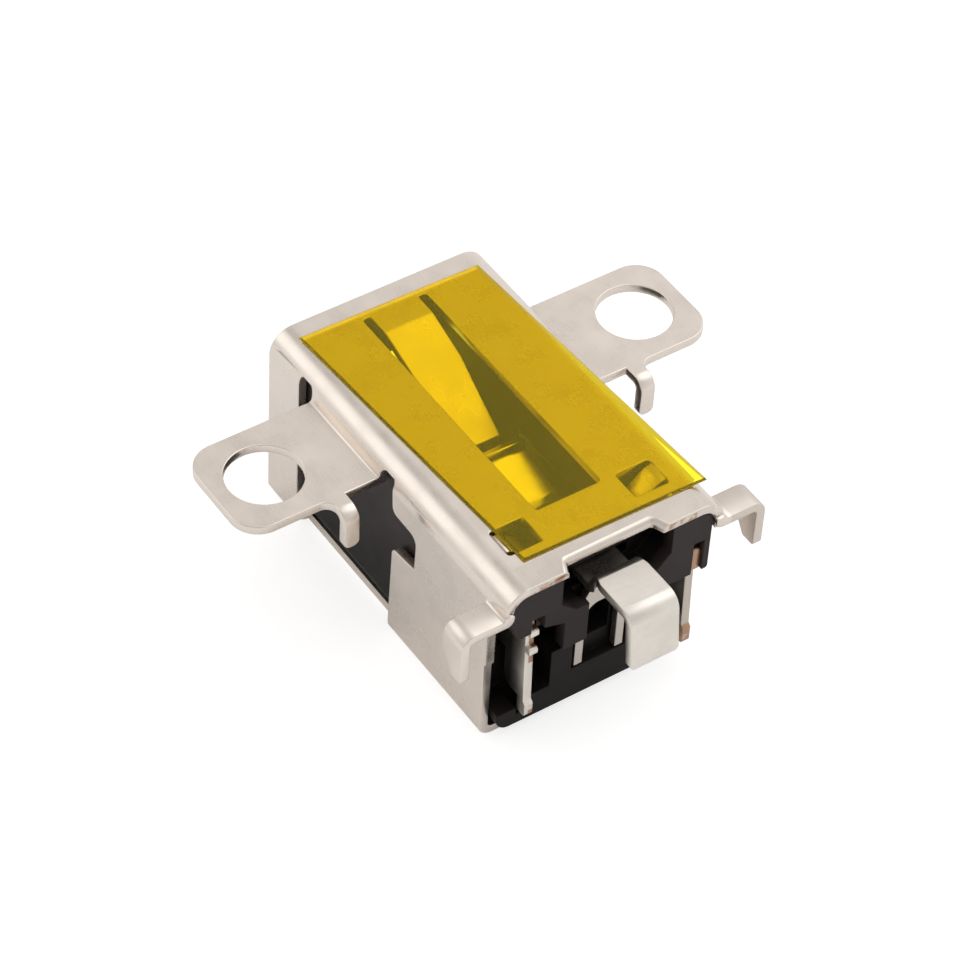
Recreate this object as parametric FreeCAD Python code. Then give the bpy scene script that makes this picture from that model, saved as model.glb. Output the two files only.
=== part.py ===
import FreeCAD, Part
import math
import os

# Board-mount DC power jack in a folded metal shield, with two screw ears.
# X runs across the ears, Y points to the plug side, Z is up from the underside.
# The origin is the middle of the whole jack, on its flat underside. All sizes are in millimetres.

# Shield: one blank of sheet, folded to a rectangular tube with its seam underneath
sheet = 0.30
shield_width = 7.40
shield_height = 6.50
shield_length = 12.10
fold_inner_r = 0.50
low_fold_inner_r = 0.15
seam_gap = 0.12
underside_rear_step = 1.00
left_wall_rear_step = 0.80
left_wall_burr = 0.09
left_wall_burr_z = 3.05
right_wall_rear_step = 1.45

# Rear lip of the shield's top, set back over the contact tail
lip_recess_width = 2.84
lip_recess_splay = 0.16
lip_recess_depth = 0.38
lip_corner_r = 0.12
lip_roll_r = 0.20

# Screw ears, folded out of the side walls, with the board under them
ear_span = 16.0
ear_width = 3.56
ear_from_rear = 8.05
ear_drop = 0.78
ear_corner_r = 0.90
ear_hole_from_tip = 1.65
ear_hole_r = 1.15
ear_root_r = 0.12
ear_under_r = 0.25

# Locating pegs on the ears' rear edge and locating legs at the rear corners
peg_width = 0.50
peg_centre_x = 5.05
peg_reach = 0.80
peg_tip_drop = 2.12
peg_tip_r = 0.20
peg_root_r = 0.33
leg_reach_x = 5.12
leg_width = 0.93
leg_proud = 0.09
leg_tip_drop = 2.52
leg_tip_width = 0.52
leg_taper_start = 1.88
leg_corner_r = 0.12
spur_bend_r = 0.15

# Side windows under the ears, with the latch notch that the housing's barb snaps into
side_far_from_ear = 0.68
side_top_drop = 0.38
side_near_from_ear = 0.70
notch_depth = 1.24
notch_top_drop = 1.50
notch_low_drop = 2.82
notch_tooth_drop = 2.95
side_corner_r = 0.15
side_ear_corner_r = 0.28
notch_lean = 0.04
notch_outer_r = 0.25
notch_inner_r = 0.30
notch_tooth_r = 0.20

# Long window in the top, with the contact tongue lanced between two slits
window_width = 2.20
window_front_margin = 0.90
window_rear_margin = 2.35
slit_width = 0.28
tongue_flat = 0.75
tongue_reach = 4.05
tongue_straight = 1.55
tongue_dip = 1.35
tongue_tip_width = 0.92
tongue_tip_r = 0.15
tongue_bend_r = 1.00
window_corner_r = 0.12

# Small windows with lanced lock tabs at the rear of the top
lock_window_x = 1.15
lock_window_y = 1.02
lock_centre_x = 2.12
lock_from_rear = 1.83
lock_tab_width = 0.72
lock_tab_dip = 0.62
lock_slit = 0.20
lock_corner_r = 0.10
lock_bend_r = 0.30
lock_bend_from_edge = 0.12

# Housing, moulded in black plastic, slid into the shield from the rear
housing_gap = 0.05
face_recess = 0.15
housing_corner_r = 0.45
housing_low_r = 0.45
body_rear_step = 0.47
flange_rear_step = 0.05
spring_slot_width = 2.30
spring_slot_web = 0.10
flange_corner_r = 0.10

# Housing's rear: two upright flanges, the post beside the pin and the hollows between them
flange_depth = 0.83
flange_side_drop = 1.20
left_flange_drop = 1.99
right_flange_drop = 2.68
flange_chamfer = 0.21
blade_head_room = 0.40
post_outer_x = -1.55
post_inner_x = -0.75
post_low = 3.20
post_brow = 0.20
well_left_x = -1.71
well_left_drop = 1.37
well_floor_left_x = -1.20
well_floor_drop = 1.82
well_floor_right_x = 1.50
well_right_x = 1.97
well_right_drop = 1.32
well_depth = 0.55
left_pocket_low = 1.02
left_pocket_high = 5.00
left_pocket_depth = 1.05
middle_pocket_low = 2.70
middle_pocket_high = 4.15
middle_pocket_x = -1.20
middle_pocket_foot = 1.30
middle_pocket_foot_x = -1.60
middle_pocket_depth = 0.85
right_pocket_x = 1.93
pin_hollow_width = 1.00
pin_hollow_low = 2.30
pin_hollow_high = 3.90
pin_hollow_depth = 1.00

# Plug socket: lead-in collar, barrel bore and centre pin on one axis, at the housing's mid-height
collar_r = 2.25
collar_length = 1.15
bore_r = 2.08
bore_depth = 9.50
pin_r = 0.80
pin_recess = 1.30
pin_nose_r = 0.35
pin_collar_r = 1.20
pin_collar_length = 0.30
pin_shank_length = 0.45
pin_rivet_r = 0.45

# Pin terminal: saddle strip behind the pin
terminal_thickness = 0.25
terminal_bend_r = 0.10
terminal_plate_half = 0.75
terminal_shelf_half = 0.45
terminal_plate_foot = 0.80
terminal_corner_r = 0.15
saddle_half = 0.84
saddle_centre_x = 0.06
saddle_leg = 0.28
saddle_top_drop = 1.72
saddle_crown_drop = 2.52
saddle_arch_r = 0.44
saddle_leg_drop = 4.85
saddle_shoulder_x = 0.46
saddle_shoulder_z = 0.78

# Sleeve contact: sprung strap over the bore and its broad tail behind the shield
strap_width = 1.46
strap_centre_x = 0.08
strap_thickness = 0.30
tail_width = 1.62
tail_drop = 0.78
tail_reach = 2.00
tail_tip_drop = 2.72
tail_lean = 0.20
tail_bend_r = 0.20
tail_corner_r = 0.14
tail_shoulder_r = 0.40
tail_shoulder_step = 0.30
dive_from_rear = 0.03
dive_run = 0.18
dive_bend_r = 0.10
strap_drop = 1.35
strap_knee_from_rear = 2.75
strap_knee_r = 0.50
strap_low_r = 0.80
strap_fold_r = 0.10
strap_low_from_rear = 3.75
strap_low_drop = 1.65
strap_fold_from_rear = 5.60
strap_fold_drop = 1.27
strap_lip_height = 0.32
strap_lip_reach = 0.14

# Side contacts: upright blades at the rear, each with a spring arm beside the bore
blade_thickness = 0.28
left_blade_x = 2.47
right_blade_x = 3.00
blade_rear_step = 0.42
blade_lean = 0.12
blade_depth = 0.88
blade_top_drop = 1.86
left_foot_low = 0.82
right_foot_low = 0.70
blade_body_low = 1.40
blade_body_r = 0.40
blade_foot_depth = 0.30
blade_foot_proud = 0.10
blade_foot_r = 0.12
blade_foot_neck_r = 0.06
arm_height = 1.00
arm_x = 2.50
arm_straight = 0.20
arm_shift_run = 1.30
arm_bend_r = 0.60
arm_bulge = 0.55
arm_bulge_from_rear = 6.40
arm_tip_from_rear = 7.60
arm_tip_back = 0.30
nub_proud = 0.26
nub_root = 0.20
nub_r = 0.10
left_nubs = ((2.23, 0.28), (2.97, 0.28))
right_nubs = ((2.30, 0.86),)

# Insulating film stuck over the top, a little skewed
film_thickness = 0.06
film_width = 6.10
film_length = 10.58
film_turn = 3.2
film_end_skew = -0.8
film_centre_x = 0.27
film_from_rear = 6.16
film_corner_r = 0.02

# Clearance of contacts in their pockets, and the room left round the side contacts' arms
pocket_gap = 0.08
arm_pocket_inset = 0.60
arm_pocket_web = 0.10
arm_pocket_end_room = 0.40

# Places worked out from the sizes above
overall_length = shield_length + tail_reach
front_y = overall_length / 2
rear_y = front_y - shield_length
top_z = shield_height
half_width = shield_width / 2
ear_y = rear_y + ear_from_rear
ear_near_y = ear_y - ear_width / 2
ear_far_y = ear_y + ear_width / 2
ear_top_z = top_z - ear_drop
board_z = ear_top_z - sheet
ear_hole_x = ear_span / 2 - ear_hole_from_tip
flat_half = half_width - fold_inner_r - sheet
low_fold_outer_r = low_fold_inner_r + sheet
housing_half = half_width - sheet - housing_gap
housing_low_z = sheet + housing_gap
housing_top_z = top_z - sheet - housing_gap
socket_z = (housing_low_z + housing_top_z) / 2
face_y = front_y - face_recess
body_rear_y = rear_y + body_rear_step
flange_rear_y = rear_y + flange_rear_step
bore_end_y = face_y - bore_depth
tail_top_z = top_z - tail_drop
strap_top_z = top_z - strap_drop
strap_low_z = strap_top_z - strap_thickness

Vec = FreeCAD.Vector
OVER = 1.0


def at(plane, u, v, w):
    """Point with plane coordinates u, v at distance w along the plane's normal."""
    if plane == "xy":
        return Vec(u, v, w)
    if plane == "xz":
        return Vec(u, w, v)
    return Vec(w, u, v)


def outline(corners, plane, w):
    """Closed wire through (u, v, radius) corners, with an arc at each rounded corner."""
    spans = []
    count = len(corners)
    for i, corner in enumerate(corners):
        here = at(plane, corner[0], corner[1], w)
        before = at(plane, corners[i - 1][0], corners[i - 1][1], w)
        after = at(plane, corners[(i + 1) % count][0], corners[(i + 1) % count][1], w)
        to_before = (before - here).normalize()
        to_after = (after - here).normalize()
        radius = corner[2] if len(corner) > 2 else 0
        if radius <= 0:
            spans.append((here, here, here))
            continue
        half_angle = to_before.getAngle(to_after) / 2
        reach = radius / math.tan(half_angle)
        inward = (to_before + to_after).normalize()
        middle = here + inward * (radius / math.sin(half_angle) - radius)
        spans.append((here + to_before * reach, middle, here + to_after * reach))
    edges = []
    for i, (start, middle, end) in enumerate(spans):
        if (end - start).Length > 1e-6:
            edges.append(Part.Arc(start, middle, end).toShape())
        following = spans[(i + 1) % count][0]
        if (following - end).Length > 1e-6:
            edges.append(Part.LineSegment(end, following).toShape())
    return Part.Wire(edges)


def prism(corners, plane, low, high):
    """Solid with the given outline in a plane, between two distances along its normal."""
    face = Part.Face(outline(corners, plane, low))
    return face.extrude(at(plane, 0, 0, high - low))


def rectangle(u_low, u_high, v_low, v_high, radius=0):
    return [
        (u_low, v_low, radius),
        (u_high, v_low, radius),
        (u_high, v_high, radius),
        (u_low, v_high, radius),
    ]


def strip(path, thickness, inner_r):
    """Outline of a bent strip whose mid-line follows the path, rounded at its bends."""
    left = []
    right = []
    half = thickness / 2
    last = len(path) - 1
    for i, point in enumerate(path):
        here = Vec(point[0], point[1], 0)
        turn = 0
        if 0 < i < last:
            arriving = (here - Vec(path[i - 1][0], path[i - 1][1], 0)).normalize()
            leaving = (Vec(path[i + 1][0], path[i + 1][1], 0) - here).normalize()
            turn = arriving.cross(leaving).z
            along = (arriving + leaving).normalize()
            stretch = half / arriving.dot(along)
        else:
            one, other = (0, 1) if i == 0 else (last - 1, last)
            along = Vec(path[other][0] - path[one][0], path[other][1] - path[one][1], 0)
            along = along.normalize()
            stretch = half
        side = Vec(-along.y, along.x, 0) * stretch
        inner = point[2] if len(point) > 2 else inner_r
        left_r = inner if turn > 0 else inner + thickness
        right_r = inner + thickness if turn > 0 else inner
        if turn == 0:
            left_r = right_r = 0
        left.append((here.x + side.x, here.y + side.y, left_r))
        right.append((here.x - side.x, here.y - side.y, right_r))
    return left + right[::-1]


def mirrored(shape):
    return shape.mirror(Vec(0, 0, 0), Vec(1, 0, 0))


def rod(radius, start_y, end_y, z, x=0):
    return Part.makeCylinder(radius, end_y - start_y, Vec(x, start_y, z), Vec(0, 1, 0))


def shield_tube():
    mid = sheet / 2
    side = half_width - mid
    path = [
        (seam_gap / 2, mid),
        (side, mid, low_fold_inner_r),
        (side, top_z - mid),
        (-side, top_z - mid),
        (-side, mid, low_fold_inner_r),
        (-seam_gap / 2, mid),
    ]
    return prism(strip(path, sheet, fold_inner_r), "xz", rear_y, front_y)


def side_window():
    """Cutter for the right wall and its lower fold: the ear's blank, two reliefs and the notch."""
    far = ear_far_y + side_far_from_ear
    near = ear_near_y - side_near_from_ear
    relief_z = top_z - side_top_drop
    notch_y = near - notch_depth
    corners = [
        (near, low_fold_outer_r),
        (far, low_fold_outer_r),
        (far, relief_z, side_corner_r),
        (ear_far_y, relief_z, side_ear_corner_r),
        (ear_far_y, board_z, 0),
        (ear_near_y, board_z, 0),
        (ear_near_y, relief_z, side_ear_corner_r),
        (near + notch_lean, relief_z, side_corner_r),
        (near - notch_lean, top_z - notch_top_drop, notch_outer_r),
        (notch_y, top_z - notch_top_drop - notch_lean, notch_inner_r),
        (notch_y + notch_lean, top_z - notch_low_drop),
        (near - 2 * notch_lean, top_z - notch_tooth_drop, notch_tooth_r),
    ]
    foot = prism(rectangle(near, far, -OVER, low_fold_outer_r), "yz",
                 half_width - low_fold_outer_r, half_width + OVER)
    return prism(corners, "yz", flat_half, half_width + OVER).fuse(foot)


def ear_section(outer_x):
    """Section of a tab that leaves the foot of the top fold in a small fillet and runs outwards."""
    root = half_width - sheet
    fold_z = top_z - fold_inner_r - sheet
    fold_r = fold_inner_r + sheet
    angle = math.asin((ear_top_z + ear_root_r - fold_z) / (fold_r + ear_root_r))
    touch_x = flat_half + fold_r * math.cos(angle)
    touch_z = fold_z + fold_r * math.sin(angle)
    corner_x = touch_x + (touch_z - ear_top_z) * math.tan(angle)
    return [
        (root, board_z, ear_under_r),
        (outer_x, board_z, 0),
        (outer_x, ear_top_z, 0),
        (corner_x, ear_top_z, ear_root_r),
        (touch_x, touch_z, 0),
        (root, touch_z, 0),
    ]


def ear():
    root = half_width - sheet
    tip = ear_span / 2
    neck_y = ear_near_y - peg_reach + sheet + spur_bend_r
    inner = peg_centre_x - peg_width / 2
    outer = peg_centre_x + peg_width / 2
    plan = [
        (root, ear_near_y, 0),
        (inner, ear_near_y, 0),
        (inner, neck_y, 0),
        (outer, neck_y, 0),
        (outer, ear_near_y, peg_root_r),
        (tip, ear_near_y, ear_corner_r),
        (tip, ear_far_y, ear_corner_r),
        (root, ear_far_y, 0),
    ]
    section = prism(ear_section(tip), "xz", neck_y, ear_far_y)
    plate = section.common(prism(plan, "xy", board_z - OVER, top_z))
    hole = Part.makeCylinder(ear_hole_r, 3 * OVER, Vec(ear_hole_x, ear_y, board_z - OVER))
    return plate.cut(hole)


def peg():
    face_y_rear = ear_near_y - peg_reach
    mid_z = board_z + sheet / 2
    tip_z = top_z - peg_tip_drop
    path = [(ear_near_y, mid_z), (face_y_rear + sheet / 2, mid_z), (face_y_rear + sheet / 2, tip_z)]
    inner = peg_centre_x - peg_width / 2
    outer = peg_centre_x + peg_width / 2
    bent = prism(strip(path, sheet, spur_bend_r), "yz", inner, outer)
    face = [(inner, tip_z, peg_tip_r), (outer, tip_z, peg_tip_r), (outer, top_z), (inner, top_z)]
    return bent.common(prism(face, "xz", face_y_rear - OVER, ear_near_y + OVER))


def leg():
    low_y = rear_y - leg_proud
    high_y = low_y + leg_width
    tip_z = top_z - leg_tip_drop
    mid_z = board_z + sheet / 2
    path = [(half_width, mid_z), (leg_reach_x - sheet / 2, mid_z), (leg_reach_x - sheet / 2, tip_z)]
    bent = prism(strip(path, sheet, spur_bend_r), "xz", low_y, high_y)
    root = prism(ear_section(half_width + sheet), "xz", low_y, high_y)
    face = [
        (low_y, tip_z, leg_corner_r),
        (low_y + leg_tip_width, tip_z, leg_corner_r),
        (high_y, top_z - leg_taper_start, leg_corner_r),
        (high_y, top_z),
        (low_y, top_z),
    ]
    return bent.fuse(root).common(prism(face, "yz", 0, leg_reach_x + OVER))


def lip_recess():
    back = lip_recess_width / 2
    mouth = back + lip_recess_splay
    inner_y = rear_y + lip_recess_depth
    corners = [
        (-mouth, rear_y - OVER),
        (mouth, rear_y - OVER),
        (mouth, rear_y),
        (back, inner_y, lip_corner_r),
        (-back, inner_y, lip_corner_r),
        (-mouth, rear_y),
    ]
    return prism(corners, "xy", top_z - OVER, top_z + OVER)


def top_window():
    half = window_width / 2
    corners = rectangle(-half, half, rear_y + window_rear_margin, front_y - window_front_margin,
                        window_corner_r)
    return prism(corners, "xy", top_z - OVER, top_z + OVER)


def tongue():
    """Contact tongue that dips from the window's front edge towards the plug."""
    root_y = front_y - window_front_margin
    fold_y = root_y - tongue_flat
    taper_y = fold_y - tongue_straight
    tip_y = fold_y - tongue_reach
    mid_z = top_z - sheet / 2
    path = [(root_y + sheet, mid_z), (fold_y, mid_z), (tip_y, mid_z - tongue_dip)]
    root_half = window_width / 2 - slit_width
    tip_half = tongue_tip_width / 2
    bent = prism(strip(path, sheet, tongue_bend_r), "yz", -root_half, root_half)
    plan = [
        (-root_half, root_y + sheet),
        (-root_half, taper_y),
        (-tip_half, tip_y - sheet, tongue_tip_r),
        (tip_half, tip_y - sheet, tongue_tip_r),
        (root_half, taper_y),
        (root_half, root_y + sheet),
    ]
    return bent.common(prism(plan, "xy", 0, top_z + OVER))


def lock_window():
    centre_y = rear_y + lock_from_rear
    corners = rectangle(lock_centre_x - lock_window_x / 2, lock_centre_x + lock_window_x / 2,
                        centre_y - lock_window_y / 2, centre_y + lock_window_y / 2,
                        lock_corner_r)
    return prism(corners, "xy", top_z - OVER, top_z + OVER)


def lock_tab():
    """Tab lanced on three sides and pressed down from the window's outer edge."""
    centre_y = rear_y + lock_from_rear
    outer = lock_centre_x + lock_window_x / 2
    inner = lock_centre_x - lock_window_x / 2 + lock_slit
    mid_z = top_z - sheet / 2
    root = outer + lock_corner_r
    path = [(root, mid_z), (outer - lock_bend_from_edge, mid_z), (inner, mid_z - lock_tab_dip)]
    low_y = centre_y - lock_tab_width / 2
    high_y = centre_y + lock_tab_width / 2
    bent = prism(strip(path, sheet, lock_bend_r), "xz", low_y, high_y)
    tip = inner - pocket_gap
    plan = [
        (root, low_y),
        (root, high_y),
        (tip, high_y, lock_bend_r),
        (tip, low_y, lock_bend_r),
    ]
    return bent.common(prism(plan, "xy", 0, top_z + OVER))


def rear_cutaways():
    """Cutters that step the walls and the underside back from the top's rear edge."""
    left_y = rear_y + left_wall_rear_step
    right_y = rear_y + right_wall_rear_step
    under_y = rear_y + underside_rear_step
    wall = [
        (rear_y - OVER, -OVER),
        (left_y, -OVER),
        (left_y, left_wall_burr_z),
        (left_y - left_wall_burr, left_wall_burr_z + left_wall_burr),
        (left_y - left_wall_burr, board_z),
        (rear_y - OVER, board_z),
    ]
    left = prism(wall, "yz", -half_width - OVER, -flat_half + sheet)
    right = prism(rectangle(rear_y - OVER, right_y, -OVER, board_z), "yz",
                  flat_half - sheet, half_width + OVER)
    under = prism(rectangle(-flat_half, half_width + OVER, rear_y - OVER, under_y), "xy",
                  -OVER, low_fold_outer_r)
    return [left, right, under]


def shield():
    shape = shield_tube()
    window = side_window()
    holes = [window, mirrored(window), lip_recess(), top_window(), lock_window(),
             mirrored(lock_window())]
    for cutter in holes + rear_cutaways():
        shape = shape.cut(cutter)
    spurs = [ear(), peg(), leg(), lock_tab()]
    for spur in spurs:
        shape = shape.fuse(spur).fuse(mirrored(spur))
    shape = shape.fuse(tongue()).removeSplitter()
    return shape.makeFillet(lip_roll_r, lip_roll_edges(shape))


def lip_roll_edges(shape):
    """The straight top edge at the back of the rear lip's recess."""
    inner_y = rear_y + lip_recess_depth
    found = []
    for edge in shape.Edges:
        box = edge.BoundBox
        at_top = box.ZLength < 1e-6 and abs(box.ZMin - top_z) < 1e-6
        at_recess = box.YLength < 1e-6 and abs(box.YMin - inner_y) < 1e-6
        if at_top and at_recess:
            found.append(edge)
    return found


def housing_section(rear, front):
    corners = [
        (-housing_half, housing_low_z, housing_low_r),
        (housing_half, housing_low_z, housing_low_r),
        (housing_half, housing_top_z, housing_corner_r),
        (-housing_half, housing_top_z, housing_corner_r),
    ]
    return prism(corners, "xz", rear, front)


def rear_flanges():
    """Two upright flanges that stand behind the body, the left one with the post by the pin."""
    slot_half = blade_thickness / 2 + pocket_gap
    slot_top = top_z - blade_top_drop + blade_head_room
    left_low = top_z - left_flange_drop
    right_low = top_z - right_flange_drop
    side_z = top_z - flange_side_drop
    left = [
        (-housing_half, housing_top_z, housing_corner_r),
        (-housing_half, side_z),
        (-housing_half + flange_chamfer, left_low),
        (-left_blade_x - slot_half, left_low),
        (-left_blade_x - slot_half, slot_top),
        (-left_blade_x + slot_half, slot_top),
        (-left_blade_x + slot_half, left_low),
        (post_outer_x, left_low - post_brow),
        (post_outer_x, post_low),
        (post_inner_x, post_low),
        (post_inner_x, top_z - well_floor_drop),
        (well_floor_left_x, top_z - well_floor_drop),
        (well_left_x, top_z - well_left_drop),
        (well_left_x, housing_top_z),
    ]
    right = [
        (housing_half, housing_top_z, housing_corner_r),
        (well_right_x, housing_top_z),
        (well_right_x, top_z - well_right_drop),
        (well_floor_right_x, top_z - well_floor_drop),
        (well_floor_right_x, right_low),
        (right_blade_x - slot_half, right_low),
        (right_blade_x - slot_half, slot_top),
        (right_blade_x + blade_thickness / 2, slot_top),
        (right_blade_x + blade_thickness / 2, right_low),
        (housing_half, right_low, flange_corner_r),
    ]
    front = flange_rear_y + flange_depth
    return prism(left, "xz", flange_rear_y, front).fuse(prism(right, "xz", flange_rear_y, front))


def rear_pockets():
    """Cutters for the hollows in the rear face, beside and over the contacts."""
    behind = flange_rear_y - OVER
    inner = -left_blade_x + blade_thickness / 2
    left = rectangle(-housing_half - OVER, inner, left_pocket_low, left_pocket_high)
    middle = rectangle(inner, middle_pocket_x, middle_pocket_low, middle_pocket_high)
    middle_foot = rectangle(inner, middle_pocket_foot_x, middle_pocket_foot, middle_pocket_low)
    right = rectangle(right_pocket_x, housing_half + OVER, -OVER, top_z - right_flange_drop)
    well = [
        (well_left_x, top_z),
        (well_left_x, top_z - well_left_drop),
        (well_floor_left_x, top_z - well_floor_drop),
        (well_floor_right_x, top_z - well_floor_drop),
        (well_right_x, top_z - well_right_drop),
        (well_right_x, top_z),
    ]
    return [
        prism(left, "xz", body_rear_y, body_rear_y + left_pocket_depth),
        prism(middle, "xz", body_rear_y, body_rear_y + middle_pocket_depth),
        prism(middle_foot, "xz", behind, body_rear_y + middle_pocket_depth),
        prism(right, "xz", behind, rear_y + right_wall_rear_step),
        prism(well, "xz", behind, body_rear_y + well_depth),
    ]


def spring_slot():
    """Open slot over the bore for the tongue and the strap, and the passage at the strap's root."""
    half = spring_slot_width / 2
    slot_front = face_y - collar_length - spring_slot_web
    upper = prism(rectangle(-half, half, socket_z, top_z), "xz", bore_end_y, slot_front)
    root = prism(rectangle(-half, half, strap_low_z, strap_top_z + pocket_gap), "xz",
                 flange_rear_y - OVER, bore_end_y + OVER)
    return upper.fuse(root)


def terminal_slot():
    """Slot that holds the pin's terminal, with the saddle's opening behind it."""
    plate_y = bore_end_y - pin_shank_length
    gap = pocket_gap
    plate_half = terminal_plate_half + gap
    shelf_half = terminal_shelf_half + gap
    shelf_z = top_z - saddle_top_drop + gap
    plate = prism(rectangle(-plate_half, plate_half, socket_z - terminal_plate_foot - gap,
                            strap_low_z), "xz", plate_y - terminal_thickness - gap, plate_y)
    shelf = prism(rectangle(-shelf_half, shelf_half, shelf_z - terminal_thickness - 2 * gap,
                            strap_low_z), "xz", body_rear_y - OVER, plate_y)
    saddle = prism(rectangle(saddle_centre_x - saddle_half - gap, saddle_centre_x + saddle_half + gap,
                             top_z - saddle_leg_drop - gap, shelf_z), "xz",
                   body_rear_y - gap, body_rear_y + terminal_thickness + gap)
    hollow_x = saddle_centre_x - pin_hollow_width / 2
    hollow = prism(rectangle(hollow_x, hollow_x + pin_hollow_width, pin_hollow_low,
                             pin_hollow_high), "xz", body_rear_y - OVER,
                   body_rear_y + pin_hollow_depth)
    return plate.fuse(shelf).fuse(saddle).fuse(hollow)


def arm_pocket(blade_x, foot_low, side):
    """Pocket beside the bore for a side contact's spring arm."""
    gap = pocket_gap
    half = blade_thickness / 2
    low_z = socket_z - arm_height / 2 - gap
    high_z = socket_z + arm_height / 2 + gap
    outer = max(blade_x, arm_x) + half + gap
    pocket_edges = sorted((side * (bore_r - arm_pocket_inset), side * outer))
    pocket = prism(rectangle(pocket_edges[0], pocket_edges[1], low_z, high_z), "xz",
                   bore_end_y + arm_pocket_web, rear_y + arm_tip_from_rear + arm_pocket_end_room)
    lane_edges = sorted((side * (min(blade_x, arm_x) - half - gap), side * outer))
    lane = prism(rectangle(lane_edges[0], lane_edges[1], low_z, high_z), "xz",
                 body_rear_y, bore_end_y + OVER)
    room_edges = sorted((side * (blade_x - half - gap), side * (blade_x + half + gap)))
    blade_room = prism(rectangle(room_edges[0], room_edges[1], foot_low - gap,
                                 top_z - blade_top_drop + gap), "xz", body_rear_y,
                       rear_y + blade_rear_step + blade_depth + gap)
    return pocket.fuse(lane).fuse(blade_room)


def lock_pocket():
    """Pocket in the housing's top that the shield's lock tab presses into."""
    centre_y = rear_y + lock_from_rear
    corners = rectangle(lock_centre_x - lock_window_x / 2 - pocket_gap,
                        lock_centre_x + lock_window_x / 2,
                        centre_y - lock_window_y / 2, centre_y + lock_window_y / 2)
    depth = sheet + lock_tab_dip + 2 * pocket_gap
    return prism(corners, "xy", top_z - depth, top_z)


def housing():
    shape = housing_section(body_rear_y, face_y).fuse(rear_flanges())
    shape = shape.cut(rod(collar_r, face_y - collar_length, face_y + OVER, socket_z))
    shape = shape.cut(rod(bore_r, bore_end_y, face_y, socket_z))
    shape = shape.cut(rod(pin_r, bore_end_y - OVER, bore_end_y, socket_z))
    cutters = rear_pockets() + [
        spring_slot(),
        terminal_slot(),
        arm_pocket(left_blade_x, left_foot_low, -1),
        arm_pocket(right_blade_x, right_foot_low, 1),
        lock_pocket(),
        mirrored(lock_pocket()),
    ]
    for cutter in cutters:
        shape = shape.cut(cutter)
    return shape.removeSplitter()


def center_pin():
    """Turned pin: rounded nose, stop collar, shank and rivet end."""
    tip_y = face_y - pin_recess
    shank_y = bore_end_y - pin_shank_length
    rivet_y = shank_y - terminal_thickness
    profile = [
        (0, tip_y),
        (pin_r, tip_y, pin_nose_r),
        (pin_r, bore_end_y + pin_collar_length),
        (pin_collar_r, bore_end_y + pin_collar_length),
        (pin_collar_r, bore_end_y),
        (pin_r, bore_end_y),
        (pin_r, shank_y),
        (pin_rivet_r, shank_y),
        (pin_rivet_r, rivet_y),
        (0, rivet_y),
    ]
    face = Part.Face(outline(profile, "xy", 0))
    pin = face.revolve(Vec(0, 0, 0), Vec(0, 1, 0), 360)
    pin.translate(Vec(0, 0, socket_z))
    return pin


def pin_terminal():
    """Strip riveted on the pin, bent over a shelf and down to a saddle with two legs."""
    plate_y = bore_end_y - pin_shank_length - terminal_thickness / 2
    saddle_y = body_rear_y + terminal_thickness / 2
    shelf_z = top_z - saddle_top_drop - terminal_thickness / 2
    foot_z = socket_z - terminal_plate_foot
    shoulder_z = socket_z + terminal_plate_foot
    path = [(plate_y, foot_z), (plate_y, shelf_z), (saddle_y, shelf_z)]
    wide = terminal_plate_half
    narrow = terminal_shelf_half
    bent = prism(strip(path, terminal_thickness, terminal_bend_r), "yz", -narrow, narrow)
    plate = prism(rectangle(-wide, wide, foot_z, shoulder_z, terminal_corner_r), "xz",
                  plate_y - terminal_thickness / 2, plate_y + terminal_thickness / 2)
    rivet_hole = rod(pin_rivet_r, plate_y - OVER, plate_y + OVER, socket_z)
    low = saddle_centre_x - saddle_half
    high = saddle_centre_x + saddle_half
    crown_z = top_z - saddle_crown_drop
    leg_z = top_z - saddle_leg_drop
    peak = top_z - saddle_top_drop
    corners = [
        (low, leg_z),
        (low + saddle_leg, leg_z),
        (low + saddle_leg, crown_z, saddle_arch_r),
        (high - saddle_leg, crown_z, saddle_arch_r),
        (high - saddle_leg, leg_z),
        (high, leg_z),
        (high, peak - saddle_shoulder_z),
        (high - saddle_shoulder_x, peak),
        (low + saddle_shoulder_x, peak),
        (low, peak - saddle_shoulder_z),
    ]
    saddle = prism(corners, "xz", body_rear_y, body_rear_y + terminal_thickness)
    return bent.fuse(plate).cut(rivet_hole).fuse(saddle).removeSplitter()


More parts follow.
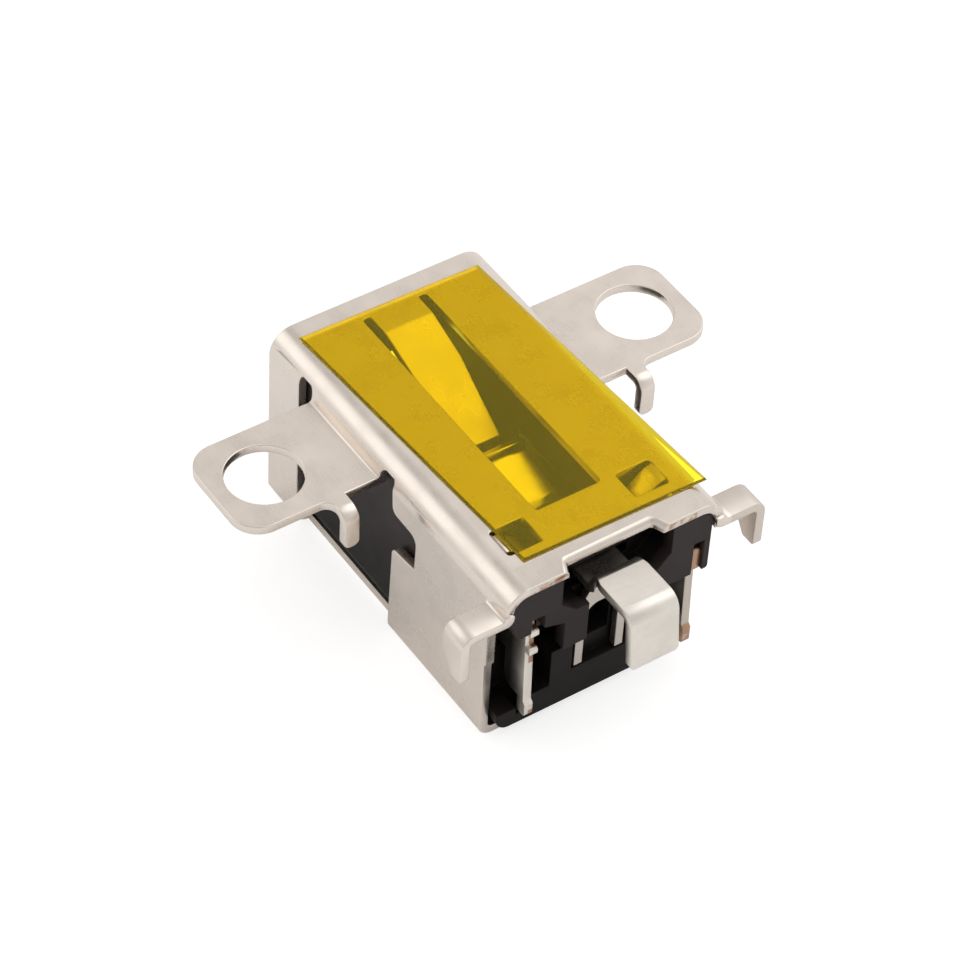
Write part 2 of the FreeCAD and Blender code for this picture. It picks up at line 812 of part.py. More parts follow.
def sleeve_contact():
    """Strap with a turned-up free end, a low contact knee and the broad arched tail."""
    mid = strap_thickness / 2
    tail_z = tail_top_z - mid
    root_z = strap_top_z - mid
    tip_z = top_z - tail_tip_drop
    slope = tail_lean / (tail_z - tip_z)
    tip_y = rear_y - tail_reach + mid * math.hypot(1, slope)
    dive_y = rear_y + dive_from_rear
    fold_y = rear_y + strap_fold_from_rear
    fold_z = top_z - strap_fold_drop - mid
    path = [
        (tip_y - slope * OVER, tip_z - OVER),
        (tip_y + tail_lean, tail_z),
        (dive_y, tail_z, dive_bend_r),
        (dive_y + dive_run, root_z, dive_bend_r),
        (rear_y + strap_knee_from_rear, root_z, strap_knee_r),
        (rear_y + strap_low_from_rear, top_z - strap_low_drop - mid, strap_low_r),
        (fold_y, fold_z, strap_fold_r),
        (fold_y + strap_lip_reach, fold_z + strap_lip_height),
    ]
    tail_half = tail_width / 2
    bent = prism(strip(path, strap_thickness, tail_bend_r), "yz", strap_centre_x - tail_half,
                 strap_centre_x + tail_half)
    face = [
        (strap_centre_x - tail_half, tip_z, tail_corner_r),
        (strap_centre_x + tail_half, tip_z, tail_corner_r),
        (strap_centre_x + tail_half, top_z),
        (strap_centre_x - tail_half, top_z),
    ]
    bent = bent.common(prism(face, "xz", rear_y - tail_reach - OVER, front_y))
    return bent.common(prism(strap_plan(), "xy", 0, top_z))


def strap_plan():
    """The sleeve contact from above: the tail's shoulders run in to the narrower strap."""
    half = strap_width / 2
    tail_half = tail_width / 2
    neck_y = rear_y + dive_from_rear
    shoulder_y = neck_y - tail_shoulder_step
    end_y = rear_y - tail_reach - OVER
    side = [
        (half, front_y, 0),
        (half, neck_y, tail_shoulder_r),
        (tail_half, shoulder_y, tail_shoulder_r),
        (tail_half, end_y, 0),
    ]
    right = [(strap_centre_x + x, y, radius) for x, y, radius in side]
    left = [(strap_centre_x - x, y, radius) for x, y, radius in side]
    return right + left[::-1]


def side_contact(blade_x, foot_low, nubs, side):
    """Blade with the sheared nubs of its carrier strip, and the arm that springs on the plug."""
    half = blade_thickness / 2
    back = rear_y + blade_rear_step
    front = back + blade_depth
    low_back = back - blade_lean
    foot_back = low_back - blade_foot_proud
    foot_front = low_back + blade_foot_depth
    top = top_z - blade_top_drop
    corners = [
        (foot_back, foot_low, blade_foot_r),
        (foot_front, foot_low, blade_foot_r),
        (foot_front, blade_body_low),
        (front, blade_body_low, blade_body_r),
        (front, top),
        (back, top),
        (low_back, blade_body_low, blade_foot_neck_r),
        (foot_back, blade_body_low - blade_foot_proud, blade_foot_neck_r),
    ]
    shape = prism(corners, "yz", blade_x - half, blade_x + half)
    bulge_x = arm_x - arm_bulge
    path = [
        (blade_x, front - arm_straight),
        (blade_x, front + arm_straight),
        (arm_x, front + arm_shift_run),
        (bulge_x, rear_y + arm_bulge_from_rear),
        (bulge_x + arm_tip_back, rear_y + arm_tip_from_rear),
    ]
    low_z = socket_z - arm_height / 2
    high_z = socket_z + arm_height / 2
    shape = shape.fuse(prism(strip(path, blade_thickness, arm_bend_r), "xy", low_z, high_z))
    for drop, height in nubs:
        middle = top_z - drop
        nub = rectangle(back - nub_proud, back + nub_root, middle - height / 2,
                        middle + height / 2, nub_r)
        shape = shape.fuse(prism(nub, "yz", blade_x - half, blade_x + half))
    shape = shape.removeSplitter()
    return shape if side > 0 else mirrored(shape)


def insulating_film():
    """Thin film: its long sides turned from the shield's, its ends cut a little askew."""
    along = math.radians(film_turn)
    across = math.radians(film_end_skew)
    length = Vec(math.sin(along), -math.cos(along), 0) * (film_length / 2)
    width = Vec(math.cos(across), math.sin(across), 0) * (film_width / 2)
    centre = Vec(film_centre_x, rear_y + film_from_rear, 0)
    corners = []
    for a, b in ((-1, 1), (1, 1), (1, -1), (-1, -1)):
        point = centre + width * a + length * b
        corners.append((point.x, point.y, film_corner_r))
    return prism(corners, "xy", top_z, top_z + film_thickness)


def main():
    parts = {
        "shield_shell": shield(),
        "socket_housing": housing(),
        "center_pin": center_pin(),
        "pin_terminal": pin_terminal(),
        "sleeve_contact": sleeve_contact(),
        "left_side_contact": side_contact(left_blade_x, left_foot_low, left_nubs, -1),
        "right_side_contact": side_contact(right_blade_x, right_foot_low, right_nubs, 1),
        "insulating_film": insulating_film(),
    }
    os.makedirs("parts", exist_ok=True)
    for name, shape in parts.items():
        shape.exportStep("parts/" + name + ".step")
        print(name, len(shape.Solids), round(shape.Volume, 3), shape.isValid())


main()
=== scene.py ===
import math
import bmesh
import bpy
from mathutils import Matrix, Vector


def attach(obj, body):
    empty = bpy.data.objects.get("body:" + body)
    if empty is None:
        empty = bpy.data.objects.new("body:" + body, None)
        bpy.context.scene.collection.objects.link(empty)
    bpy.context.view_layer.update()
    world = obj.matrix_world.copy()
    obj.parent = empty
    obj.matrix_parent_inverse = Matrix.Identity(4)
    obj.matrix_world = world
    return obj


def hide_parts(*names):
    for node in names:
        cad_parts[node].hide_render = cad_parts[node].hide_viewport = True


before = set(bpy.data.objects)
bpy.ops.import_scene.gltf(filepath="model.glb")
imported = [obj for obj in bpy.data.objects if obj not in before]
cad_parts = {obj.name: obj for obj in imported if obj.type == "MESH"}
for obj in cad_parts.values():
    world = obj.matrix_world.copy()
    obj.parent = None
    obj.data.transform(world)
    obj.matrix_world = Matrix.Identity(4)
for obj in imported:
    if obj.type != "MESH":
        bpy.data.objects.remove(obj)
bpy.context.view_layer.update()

MM = 0.001


# The camera stands where the photograph was taken from: behind the jack and to its left,
# looking down on the film, with a long lens and a slight roll.
azimuth = math.radians(-36.482)
elevation = math.radians(45.913)
roll = math.radians(3.674)
aim_mm = Vector((0.0, 0.62, 6.50))
distance_mm = 109.98
slide_right_mm = 0.6067
slide_up_mm = 1.6162

towards_camera = Vector((
    math.sin(azimuth) * math.cos(elevation),
    -math.cos(azimuth) * math.cos(elevation),
    math.sin(elevation),
))
level_right = Vector((0, 0, 1)).cross(towards_camera).normalized()
level_up = towards_camera.cross(level_right)
right = math.cos(roll) * level_right + math.sin(roll) * level_up
up = math.cos(roll) * level_up - math.sin(roll) * level_right

lens = bpy.data.cameras.new("camera")
lens.sensor_width = 36.0
lens.lens = 146.83
lens.clip_start = 0.005
lens.clip_end = 5.0
camera = bpy.data.objects.new("camera", lens)
bpy.context.collection.objects.link(camera)
place = aim_mm + distance_mm * towards_camera - slide_right_mm * right - slide_up_mm * up
camera.matrix_world = Matrix((
    (right.x, up.x, towards_camera.x, place.x * MM),
    (right.y, up.y, towards_camera.y, place.y * MM),
    (right.z, up.z, towards_camera.z, place.z * MM),
    (0, 0, 0, 1),
))
bpy.context.scene.camera = camera
bpy.context.scene.view_settings.view_transform = "Standard"


# The studio: even soft walls with two broad glows, one high on the right that the film's tongue
# mirrors, one on the left in front that runs along the fold. The camera sees plain white.
def new_nodes(owner):
    owner.use_nodes = True
    owner.node_tree.nodes.clear()
    return owner.node_tree


def add(tree, kind, sockets=None, **settings):
    """A node with its settings and sockets; a socket's value may be another node's output."""
    node = tree.nodes.new(kind)
    for name, value in settings.items():
        setattr(node, name, value)
    for name, value in (sockets or {}).items():
        if isinstance(value, bpy.types.NodeSocket):
            tree.links.new(value, node.inputs[name])
        else:
            node.inputs[name].default_value = value
    return node


def math_node(tree, operation, first, second=0.0, third=None):
    sockets = {0: first, 1: second}
    if third is not None:
        sockets[2] = third
    return add(tree, "ShaderNodeMath", sockets, operation=operation).outputs[0]


def spread(tree, value, low, high, to_low, to_high, interpolation="LINEAR"):
    """The value's range from low to high, stretched to another range and held at its ends."""
    sockets = {
        "Value": value,
        "From Min": low,
        "From Max": high,
        "To Min": to_low,
        "To Max": to_high,
    }
    node = add(tree, "ShaderNodeMapRange", sockets, interpolation_type=interpolation)
    return node.outputs["Result"]


def ramp(tree, value, stops):
    """Colour ramp with (position, colour) stops."""
    node = add(tree, "ShaderNodeValToRGB", {"Fac": value})
    band = node.color_ramp
    while len(band.elements) < len(stops):
        band.elements.new(0.5)
    for element, (position, colour) in zip(band.elements, stops):
        element.position = position
        element.color = (*colour, 1.0)
    return node.outputs["Color"]


def soft_lamp(name, place_mm, side_mm, watts):
    """Square lamp that looks at the middle of the jack."""
    lamp = bpy.data.lights.new(name, "AREA")
    lamp.shape = "RECTANGLE"
    lamp.size = side_mm * MM
    lamp.size_y = side_mm * MM
    lamp.energy = watts
    thing = bpy.data.objects.new(name, lamp)
    thing.location = Vector(place_mm) * MM
    thing.rotation_mode = "QUATERNION"
    thing.rotation_quaternion = (jack_middle_mm - Vector(place_mm)).to_track_quat("-Z", "Y")
    bpy.context.collection.objects.link(thing)


wall_tones_by_height = [
    (0.0, (0.65, 0.64, 0.63)),
    (0.55, (0.61, 0.60, 0.59)),
    (0.80, (0.55, 0.54, 0.53)),
    (1.0, (0.58, 0.57, 0.56)),
]
lift_towards_right = 0.26
glows = [
    # where it stands, cosine of the angle where it ends, level at its middle
    ((0.50, -0.05, 0.865), 0.76, 0.55),
    ((-0.60, 0.559, 0.575), 0.82, 0.38),
]
jack_middle_mm = Vector((0, 0, 3))

studio = bpy.data.worlds.new("studio")
bpy.context.scene.world = studio
sky = new_nodes(studio)
direction = add(sky, "ShaderNodeTexCoord").outputs["Generated"]
ways = add(sky, "ShaderNodeSeparateXYZ", {"Vector": direction}).outputs
walls = ramp(sky, ways["Z"], wall_tones_by_height)
level = spread(sky, ways["X"], 0.0, 1.0, 0.0, lift_towards_right)
for towards, end_cosine, middle_level in glows:
    nearness = add(
        sky, "ShaderNodeVectorMath", {0: direction, 1: towards}, operation="DOT_PRODUCT",
    ).outputs["Value"]
    glow = spread(sky, nearness, end_cosine, 1.0, 0.0, middle_level, "SMOOTHSTEP")
    level = math_node(sky, "ADD", level, glow)
lit = add(sky, "ShaderNodeVectorMath", {0: walls, 1: level}, operation="ADD").outputs[0]
room = add(sky, "ShaderNodeBackground", {"Color": lit, "Strength": 1.0})
white = add(sky, "ShaderNodeBackground", {"Color": (1, 1, 1, 1), "Strength": 1.0})
seen = add(sky, "ShaderNodeLightPath").outputs["Is Camera Ray"]
choice = add(sky, "ShaderNodeMixShader", {"Fac": seen, 1: room.outputs[0], 2: white.outputs[0]})
add(sky, "ShaderNodeOutputWorld", {"Surface": choice.outputs[0]})

soft_lamp("right_box", (58, 0, 88), 70, 0.0050)
soft_lamp("left_box", (-58, 56, 62), 60, 0.0034)


# The floor is a plain white sheet a hair under the jack that keeps its soft shadow. Seen
# directly or through the film it is lifted to the backdrop's white, and less where metal
# mirrors it.
def noise(tree, place, scale, detail=3.0, **more):
    """Soft random field; more may set Roughness or Distortion."""
    sockets = {"Vector": place, "Scale": scale, "Detail": detail, **more}
    return add(tree, "ShaderNodeTexNoise", sockets).outputs["Fac"]


floor_half = 0.6
floor_drop = 0.01 * MM
fibre_scale = 900.0
paper_tones = (0.54, 0.56)
mirrored_tone = 0.35
mirrored_lift = 0.10
seen_lift = 0.71

plane = bmesh.new()
corners = [
    (-floor_half, -floor_half),
    (floor_half, -floor_half),
    (floor_half, floor_half),
    (-floor_half, floor_half),
]
plane.faces.new([plane.verts.new((x, y, -floor_drop)) for x, y in corners])
floor_mesh = bpy.data.meshes.new("floor")
plane.to_mesh(floor_mesh)
plane.free()
floor = bpy.data.objects.new("floor", floor_mesh)
bpy.context.collection.objects.link(floor)

paper = bpy.data.materials.new("white_paper")
tree = new_nodes(paper)
spot = add(tree, "ShaderNodeTexCoord").outputs["Object"]
fibre = noise(tree, spot, fibre_scale)
path = add(tree, "ShaderNodeLightPath").outputs
mirrored = path["Is Glossy Ray"]
paper_tone = spread(tree, fibre, 0.3, 0.7, *paper_tones)
tone = math_node(tree, "MULTIPLY_ADD", mirrored, mirrored_tone, paper_tone)
matt = add(tree, "ShaderNodeBsdfDiffuse", {"Color": tone})
direct = math_node(tree, "MAXIMUM", path["Is Camera Ray"], path["Is Transmission Ray"])
lift = math_node(tree, "MULTIPLY", direct, seen_lift)
lift = math_node(tree, "MULTIPLY_ADD", mirrored, mirrored_lift, lift)
shine = add(tree, "ShaderNodeEmission", {"Color": (1, 1, 1, 1), "Strength": lift})
both = add(tree, "ShaderNodeAddShader", {0: matt.outputs[0], 1: shine.outputs[0]})
add(tree, "ShaderNodeOutputMaterial", {"Surface": both.outputs[0]})
floor_mesh.materials.append(paper)


# Shield: one blank of thin plated sheet, pierced, folded to a box and left satin. Its edges
# are rounded over by the punch, and bare metal shows where the carrier strip was cut away.
merge_reach = 0.0005 * MM
share_of_neighbour = 0.45
narrowest_share = 0.12
settling_passes = 4
crowded_count = 4
crowded_room = 0.004 * MM
crease_angle = 35.0
hardly_any = 0.01


def room_for_round(edge, sharp):
    """Widest round an edge can take before it crosses a neighbour, small where many edges meet."""
    room = 1.0
    for loop in edge.link_loops:
        ahead = loop.link_loop_next
        for corner, neighbour in ((loop, loop.link_loop_prev.edge), (ahead, ahead.edge)):
            turn = corner.calc_angle()
            if neighbour not in sharp:
                used = 1 / max(math.sin(turn), hardly_any)
            elif corner.is_convex:
                used = 1 / max(math.tan(turn / 2), hardly_any)
            else:
                used = hardly_any
            room = min(room, share_of_neighbour * neighbour.calc_length() / used)
    meeting = max(sum(other in sharp for other in vertex.link_edges) for vertex in edge.verts)
    return room if meeting < crowded_count else min(room, crowded_room)


def edged_copy(name, node, edge_mm, sharp_angle=50.0, flat_angle=0.5):
    """Copy of a CAD node's mesh, its corners merged and its sharp edges given a small round.
    Faces that turn by less than the flat angle become one; creases with no room stay sharp."""
    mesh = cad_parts[node].data.copy()
    mesh.name = name
    mesh.materials.clear()
    shape = bmesh.new()
    shape.from_mesh(mesh)
    bmesh.ops.remove_doubles(shape, verts=shape.verts, dist=merge_reach)
    bmesh.ops.dissolve_degenerate(shape, dist=merge_reach, edges=shape.edges)
    bmesh.ops.dissolve_limit(
        shape, angle_limit=math.radians(flat_angle), verts=shape.verts, edges=shape.edges)
    weight = shape.edges.layers.float.new("bevel_weight_edge")
    sharp = {
        edge for edge in shape.edges if edge.calc_face_angle(0.0) > math.radians(sharp_angle)}
    narrowest = narrowest_share * edge_mm * MM
    for _ in range(settling_passes):
        sharp = {edge for edge in sharp if room_for_round(edge, sharp) > narrowest}
    for edge in shape.edges:
        if edge in sharp:
            edge[weight] = min(1.0, room_for_round(edge, sharp) / (edge_mm * MM))
        elif edge.calc_face_angle(0.0) > math.radians(crease_angle):
            edge.smooth = False
    shape.to_mesh(mesh)
    shape.free()
    piece = bpy.data.objects.new(name, mesh)
    bpy.context.collection.objects.link(piece)
    mesh.shade_smooth()
    rounding = piece.modifiers.new("edge_round", "BEVEL")
    rounding.width = edge_mm * MM
    rounding.segments = 2
    rounding.limit_method = "WEIGHT"
    rounding.use_clamp_overlap = False
    shading = piece.modifiers.new("even_shading", "WEIGHTED_NORMAL")
    shading.keep_sharp = True
    return piece


def effect(name, inputs, outputs):
    """Empty shader node group with (name, socket kind, default) inputs and (name, kind) outputs."""
    group = bpy.data.node_groups.new(name, "ShaderNodeTree")
    for label, kind, default in inputs:
        kind = "NodeSocket" + kind
        socket = group.interface.new_socket(label, in_out="INPUT", socket_type=kind)
        if default is not None:
            socket.default_value = default
    for label, kind in outputs:
        group.interface.new_socket(label, in_out="OUTPUT", socket_type="NodeSocket" + kind)
    start = group.nodes.new("NodeGroupInput").outputs
    end = group.nodes.new("NodeGroupOutput").inputs
    return group, start, end


def use(tree, group, **values):
    """A shared effect placed in a material; an underscore in a name stands for a space."""
    node = tree.nodes.new("ShaderNodeGroup")
    node.node_tree = group
    for name, value in values.items():
        socket = node.inputs[name.replace("_", " ")]
        if isinstance(value, bpy.types.NodeSocket):
            tree.links.new(value, socket)
        else:
            socket.default_value = value
    return node.outputs


# grain of rolled sheet: long fine lines along one way, soft clouds and a few scratches
cloud_tone, line_tone, scratch_tone = 0.035, 0.02, -0.012
line_roughness, scratch_roughness = 0.03, 0.04
scratch_scale = 9000.0
scratch_band = (0.66, 0.72)
cloud_band = (0.30, 0.70)
line_band = (0.25, 0.75)
grain_relief = 0.004 * MM
rolled, given, result = effect("rolled_sheet", [
    ("Place", "Vector", None),
    ("Along", "Vector", (1.0, 0.06, 1.0)),
    ("Grain Scale", "Float", 26000.0),
    ("Cloud Scale", "Float", 900.0),
    ("Roughness", "Float", 0.30),
    ("Unevenness", "Float", 0.10),
    ("Contrast", "Float", 1.0),
    ("Grain Depth", "Float", 0.25),
], [("Tone", "Float"), ("Roughness", "Float"), ("Normal", "Vector")])
drawn_out = add(
    rolled, "ShaderNodeVectorMath", {0: given["Place"], 1: given["Along"]}, operation="MULTIPLY",
).outputs[0]
lines = noise(rolled, drawn_out, given["Grain Scale"], Roughness=0.65)
clouds = noise(rolled, given["Place"], given["Cloud Scale"], detail=4.0, Roughness=0.55)
scratches = noise(rolled, drawn_out, scratch_scale, detail=2.0, Distortion=0.6)
scratch = spread(rolled, scratches, *scratch_band, 0.0, 1.0)
cloudy = spread(rolled, clouds, *cloud_band, -1.0, 1.0)
tone_change = math_node(rolled, "MULTIPLY", cloudy, cloud_tone)
tone_lines = spread(rolled, lines, *line_band, -line_tone, line_tone)
tone_scratch = math_node(rolled, "MULTIPLY_ADD", scratch, scratch_tone, 1.0)
tone_sum = math_node(rolled, "ADD", tone_change, tone_lines)
tone_sum = math_node(rolled, "MULTIPLY", tone_sum, given["Contrast"])
rolled.links.new(math_node(rolled, "ADD", tone_sum, tone_scratch), result["Tone"])
rough_change = math_node(rolled, "MULTIPLY", cloudy, given["Unevenness"])
rough_lines = spread(rolled, lines, *line_band, -line_roughness, line_roughness)
rough_sum = math_node(rolled, "ADD", rough_change, rough_lines)
rough_sum = math_node(rolled, "MULTIPLY_ADD", scratch, scratch_roughness, rough_sum)
rolled.links.new(math_node(rolled, "ADD", rough_sum, given["Roughness"]), result["Roughness"])
relief = math_node(rolled, "MULTIPLY_ADD", clouds, 0.5, lines)
bump = add(rolled, "ShaderNodeBump", {
    "Strength": given["Grain Depth"], "Distance": grain_relief, "Height": relief})
rolled.links.new(bump.outputs["Normal"], result["Normal"])

# bare copper where a cut went through the plating: a mask times ragged noise
ragged_scale = 3200.0
ragged_band = (-0.04, 0.08)
bared, given, result = effect("bare_cut", [
    ("Place", "Vector", None),
    ("Mask", "Float", 0.0),
    ("Plated", "Color", None),
    ("Bare", "Color", (0.52, 0.325, 0.215, 1.0)),
    ("Cover", "Float", 0.5),
], [("Color", "Color")])
plated_below = math_node(bared, "SUBTRACT", 1.0, given["Cover"])
ragged = noise(bared, given["Place"], ragged_scale)
ragged = math_node(bared, "SUBTRACT", ragged, plated_below)
ragged = spread(bared, ragged, *ragged_band, 0.0, 1.0)
amount = math_node(bared, "MULTIPLY", ragged, given["Mask"])
stained = add(bared, "ShaderNodeMix", {
    "Factor": amount, "A": given["Plated"], "B": given["Bare"]}, data_type="RGBA")
bared.links.new(stained.outputs["Result"], result["Color"])


def between(tree, value, low_mm, high_mm, soft_mm):
    """1 where a coordinate lies between two sizes, 0 elsewhere, with soft ends."""
    rise = spread(tree, value, (low_mm - soft_mm) * MM, (low_mm + soft_mm) * MM, 0.0, 1.0)
    fall = spread(tree, value, (high_mm - soft_mm) * MM, (high_mm + soft_mm) * MM, 1.0, 0.0)
    return math_node(tree, "MULTIPLY", rise, fall)


def region(tree, place, x=None, y=None, z=None, soft_mm=0.02):
    """1 inside a box given by up to three (low, high) ranges in millimetres."""
    axes = add(tree, "ShaderNodeSeparateXYZ", {"Vector": place}).outputs
    inside = None
    for axis, limits in (("X", x), ("Y", y), ("Z", z)):
        if limits is None:
            continue
        part = between(tree, axes[axis], *limits, soft_mm)
        inside = part if inside is None else math_node(tree, "MULTIPLY", inside, part)
    return inside


def plated_metal(name, colour, roughness, along, grain_depth, contrast=1.0,
                 bare_boxes=(), bare_cover=0.55, patches=()):
    """Plated sheet metal: grain, clouds and scratches, bare copper inside the given boxes.
    Each patch is (box, tone, rougher): inside the box the tone is multiplied by its tone, and
    its rougher, which may be below zero, is added to the roughness."""
    metal = bpy.data.materials.new(name)
    tree = new_nodes(metal)
    place = add(tree, "ShaderNodeTexCoord").outputs["Object"]
    sheet = use(tree, rolled, Place=place, Along=along, Roughness=roughness,
                Contrast=contrast, Grain_Depth=grain_depth)
    tone, rough = sheet["Tone"], sheet["Roughness"]
    for box, patch_tone, rougher in patches:
        inside = region(tree, place, **box)
        tone = math_node(tree, "MULTIPLY", tone, spread(tree, inside, 0.0, 1.0, 1.0, patch_tone))
        rough = math_node(tree, "MULTIPLY_ADD", inside, rougher, rough)
    skin = add(
        tree, "ShaderNodeVectorMath", {0: colour, "Scale": tone}, operation="SCALE").outputs[0]
    mask = None
    for box in bare_boxes:
        part = region(tree, place, **box)
        mask = part if mask is None else math_node(tree, "MAXIMUM", mask, part)
    if mask is not None:
        skin = use(tree, bared, Place=place, Mask=mask, Plated=skin, Cover=bare_cover)["Color"]
    surface = add(tree, "ShaderNodeBsdfPrincipled", {
        "Base Color": skin,
        "Metallic": 1.0,
        "Roughness": rough,
        "Normal": sheet["Normal"],
    })
    add(tree, "ShaderNodeOutputMaterial", {"Surface": surface.outputs[0]})
    return metal


along_length = (1.0, 0.07, 1.0)
left_carrier_cut = {"x": (-2.75, -1.75), "y": (-5.2, -5.02), "z": (6.15, 6.45)}
right_carrier_cut = {"x": (1.75, 2.70), "y": (-5.2, -5.02), "z": (6.15, 6.45)}
# painted shade: the top of the right leg is toned darker, and it is also made rougher
right_leg_painted_shade = {"x": (3.9, 9.0), "y": (-9.0, -3.6)}
strip_behind_film = {"x": (-2.9, 3.3), "y": (-5.3, -4.2), "z": (6.1, 6.7)}

shield = edged_copy("folded_shield", "shield_shell", edge_mm=0.035, flat_angle=4.0)
shield.data.materials.append(plated_metal(
    "satin_plated_sheet",
    colour=(0.852, 0.772, 0.698),
    roughness=0.30,
    along=along_length,
    grain_depth=0.20,
    bare_boxes=[left_carrier_cut, right_carrier_cut],
    patches=[(right_leg_painted_shade, 0.87, 0.12), (strip_behind_film, 0.91, 0.0)],
))
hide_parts("shield_shell")
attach(shield, "root")


# Housing: one moulding in black glass-filled plastic, matt. Painted light makes its outer faces
# greyer towards the top, and painted shade keeps its inner faces black. It is pushed into the
# shield from the rear.
side_from_mm, side_to_mm = 3.0, 3.3
rear_from_mm, rear_to_mm = -4.55, -4.85
foot_mm, head_mm = 1.2, 4.8
top_light_share = 0.85
flow_share = 0.15
shaded_black_inside = (0.0040, 0.0025, 0.0021)
lit_grey_outside = (0.038, 0.0290, 0.0275)
texture_scale = 22000.0
flow_scale = 700.0

moulding = edged_copy("moulded_housing", "socket_housing", edge_mm=0.025)
plastic = bpy.data.materials.new("black_moulding")
tree = new_nodes(plastic)
place = add(tree, "ShaderNodeTexCoord").outputs["Object"]
texture = noise(tree, place, texture_scale)
flow = noise(tree, place, flow_scale)
axes = add(tree, "ShaderNodeSeparateXYZ", {"Vector": place}).outputs
sideways = math_node(tree, "ABSOLUTE", axes["X"])
at_side = spread(tree, sideways, side_from_mm * MM, side_to_mm * MM, 0.0, 1.0)
at_rear = spread(tree, axes["Y"], rear_to_mm * MM, rear_from_mm * MM, 1.0, 0.0)
outside = math_node(tree, "MAXIMUM", at_side, at_rear)
# painted light: outer faces grow greyer towards the top, inner faces stay black as painted shade;
# the flow noise adds random unevenness
height = spread(tree, axes["Z"], foot_mm * MM, head_mm * MM, 0.0, top_light_share)
greyer = math_node(tree, "MULTIPLY", outside, height)
uneven = spread(tree, flow, 0.3, 0.7, 0.0, flow_share)
greyer = math_node(tree, "ADD", greyer, uneven)
black = ramp(tree, greyer, [(0.0, shaded_black_inside), (1.0, lit_grey_outside)])
rough = spread(tree, flow, 0.3, 0.7, 0.40, 0.52)
grain = add(tree, "ShaderNodeBump", {
    "Strength": 0.35, "Distance": grain_relief, "Height": texture})
surface = add(tree, "ShaderNodeBsdfPrincipled", {
    "Base Color": black,
    "Roughness": rough,
    "Normal": grain.outputs["Normal"],
    "Specular IOR Level": 0.17,
})
add(tree, "ShaderNodeOutputMaterial", {"Surface": surface.outputs[0]})
moulding.data.materials.append(plastic)
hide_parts("socket_housing")
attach(moulding, "root")


# Centre pin: turned from rod, plated and polished, with fine lathe rings round its axis. It
# stands in the bore, so only a view from the front shows it.
pin = edged_copy("turned_pin", "center_pin", edge_mm=0.02)
pin.data.materials.append(plated_metal(
    "polished_pin",
    colour=(0.80, 0.77, 0.72),
    roughness=0.20,
    along=(1.0, 8.0, 1.0),
    grain_depth=0.15,
))
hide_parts("center_pin")
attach(pin, "root")


# Pin terminal: a strip riveted to the pin, whose saddle shows under the tail. Like the side
# contacts it was rolled along its height.
along_height = (1.0, 1.0, 0.08)

saddle = edged_copy("saddle_strip", "pin_terminal", edge_mm=0.025)
saddle.data.materials.append(plated_metal(
    "saddle_plating",
    colour=(0.68, 0.62, 0.56),
    roughness=0.36,
    along=along_height,
    grain_depth=0.25,
))
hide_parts("pin_terminal")
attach(saddle, "root")


# Sleeve contact: the sprung strap over the bore; its broad tail is brushed across the bend,
# and the strap under the film is left smoother and brighter, the brightness a painted light.
# painted light: the strap under the film is toned brighter where the window's walls shade it
strap_under_film_painted_light = {"y": (-3.6, 9.0)}

strap = edged_copy("tail_strap", "sleeve_contact", edge_mm=0.035)
strap.data.materials.append(plated_metal(
    "brushed_tail",
    colour=(0.835, 0.785, 0.722),
    roughness=0.34,
    along=(0.05, 1.0, 1.0),
    grain_depth=0.70,
    contrast=2.2,
    patches=[(strap_under_film_painted_light, 1.17, -0.14)],
))
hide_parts("sleeve_contact")
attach(strap, "root")


# Side contacts: blades cut from copper strip after plating, so their cut edges are bare. The
# left one is painted darker deeper in its pocket, a painted shade for the pocket's shadow.
left_edge = {"x": (-2.49, -2.0), "y": (-4.80, -4.50), "z": (2.9, 4.6)}
left_foot = {"x": (-2.49, -2.0), "y": (-5.3, -4.7), "z": (0.7, 1.05)}
# painted shade: the left blade grows dark deeper in its pocket
left_pocket_painted_shade = {"y": (-4.34, -3.0), "soft_mm": 0.33}
right_edge = {"y": (-5.2, -4.70), "z": (3.75, 4.8)}
right_foot = {"y": (-5.2, -4.6), "z": (0.7, 1.4)}

left_blade = edged_copy("left_blade", "left_side_contact", edge_mm=0.025)
left_blade.data.materials.append(plated_metal(
    "left_blade_plating",
    colour=(0.92, 0.87, 0.80),
    roughness=0.50,
    along=along_height,
    grain_depth=0.25,
    bare_boxes=[left_edge, left_foot],
    bare_cover=0.74,
    patches=[(left_pocket_painted_shade, 0.12, 0.0)],
))
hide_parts("left_side_contact")
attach(left_blade, "root")

right_blade = edged_copy("right_blade", "right_side_contact", edge_mm=0.025)
right_blade.data.materials.append(plated_metal(
    "right_blade_shaded_plating",
    # painted shade: the right blade's plating colour is darkened for the shade on its face
    colour=(0.66, 0.60, 0.53),
    roughness=0.42,
    along=along_height,
    grain_depth=0.25,
    bare_boxes=[right_edge, right_foot],
    bare_cover=0.75,
))
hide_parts("right_side_contact")
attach(right_blade, "root")


# Insulating film: clear amber film stuck on the top, slightly skewed, a little wavy and
# hanging free over the folds. It lies a hair over the metal, and its cut edges are a darker
# amber, for dirt on them and a painted shadow line along them.
film_corners_mm = ((-2.484, -4.129), (3.615, -4.214), (3.024, 6.349), (-3.075, 6.434))
film_top_mm = 6.532
film_thickness_mm = 0.024
film_wave_mm = 0.005
film_columns = 36
film_rows = 60
rear_left, rear_right, front_right, front_left = [Vector(corner) for corner in film_corners_mm]

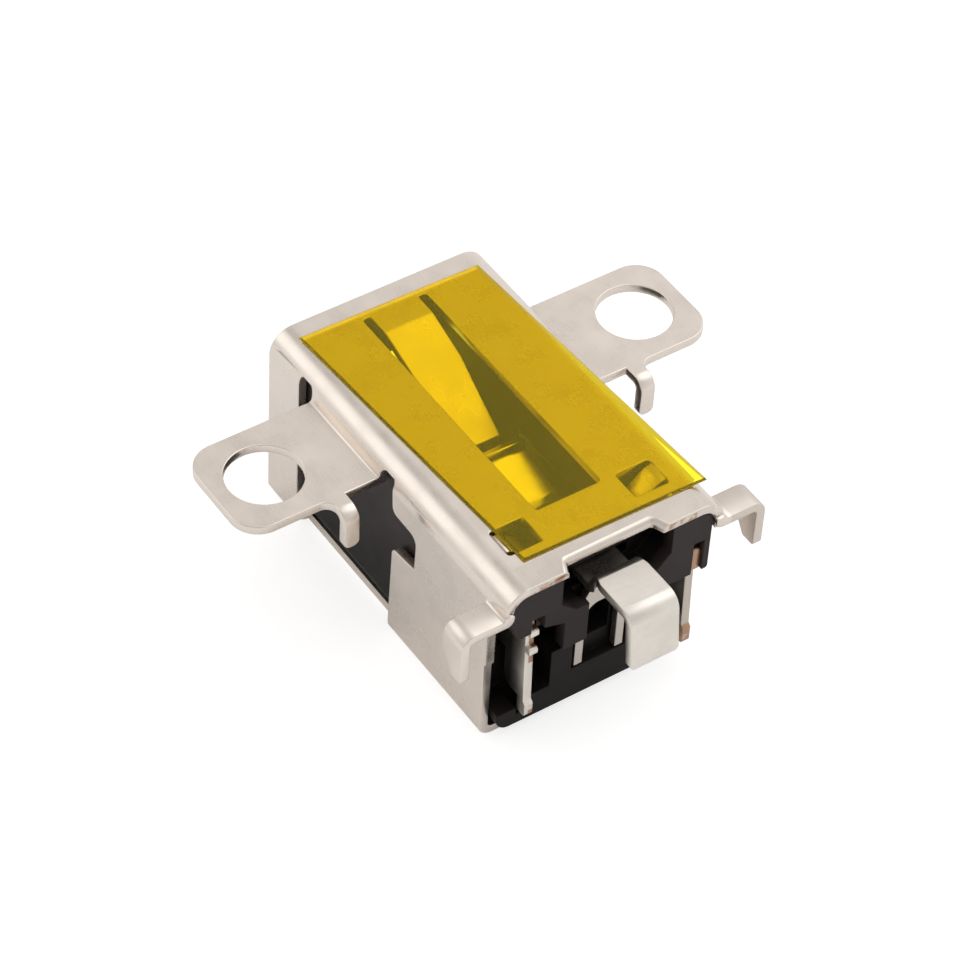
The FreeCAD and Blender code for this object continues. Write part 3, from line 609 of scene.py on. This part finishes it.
cut = bmesh.new()
grid = []
for row in range(film_rows + 1):
    left_end = rear_left.lerp(front_left, row / film_rows)
    right_end = rear_right.lerp(front_right, row / film_rows)
    line = []
    for column in range(film_columns + 1):
        point = left_end.lerp(right_end, column / film_columns)
        wave = math.sin(1.9 * point.x + 0.8 * point.y) * math.cos(1.1 * point.y - 0.7 * point.x)
        top_mm = film_top_mm + film_wave_mm * wave
        line.append(cut.verts.new((point.x * MM, point.y * MM, top_mm * MM)))
    grid.append(line)
for row in range(film_rows):
    for column in range(film_columns):
        lower = grid[row][column:column + 2]
        upper = grid[row + 1][column:column + 2]
        cut.faces.new([lower[0], lower[1], upper[1], upper[0]])
film_mesh = bpy.data.meshes.new("amber_film")
cut.to_mesh(film_mesh)
cut.free()
film = bpy.data.objects.new("amber_film", film_mesh)
bpy.context.collection.objects.link(film)
film_mesh.shade_smooth()
body = film.modifiers.new("thickness", "SOLIDIFY")
body.thickness = film_thickness_mm * MM
body.offset = -1.0
body.material_offset_rim = 1


mottle_scale = 500.0
mottle_relief = 0.02 * MM


def amber(name, thin, thick, roughness, transmission):
    """Amber plastic film, its tint wandering a little between two colours."""
    tinted = bpy.data.materials.new(name)
    tree = new_nodes(tinted)
    place = add(tree, "ShaderNodeTexCoord").outputs["Object"]
    mottle = noise(tree, place, mottle_scale)
    tint = ramp(tree, mottle, [(0.3, thin), (0.7, thick)])
    ripple = add(tree, "ShaderNodeBump", {
        "Strength": 0.2, "Distance": mottle_relief, "Height": mottle})
    surface = add(tree, "ShaderNodeBsdfPrincipled", {
        "Base Color": tint,
        "Roughness": roughness,
        "IOR": 1.22,
        "Transmission Weight": transmission,
        "Normal": ripple.outputs["Normal"],
    })
    add(tree, "ShaderNodeOutputMaterial", {"Surface": surface.outputs[0]})
    return tinted


film_mesh.materials.append(amber(
    "amber_film",
    thin=(1.0, 0.828, 0.032),
    thick=(1.0, 0.815, 0.027),
    roughness=0.08,
    transmission=0.91,
))
# dirt and painted shade: the cut edges are a darker amber than the film
film_mesh.materials.append(amber(
    "amber_cut_edge",
    thin=(0.86, 0.62, 0.06),
    thick=(0.80, 0.56, 0.05),
    roughness=0.40,
    transmission=0.35,
))
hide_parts("insulating_film")
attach(film, "root")
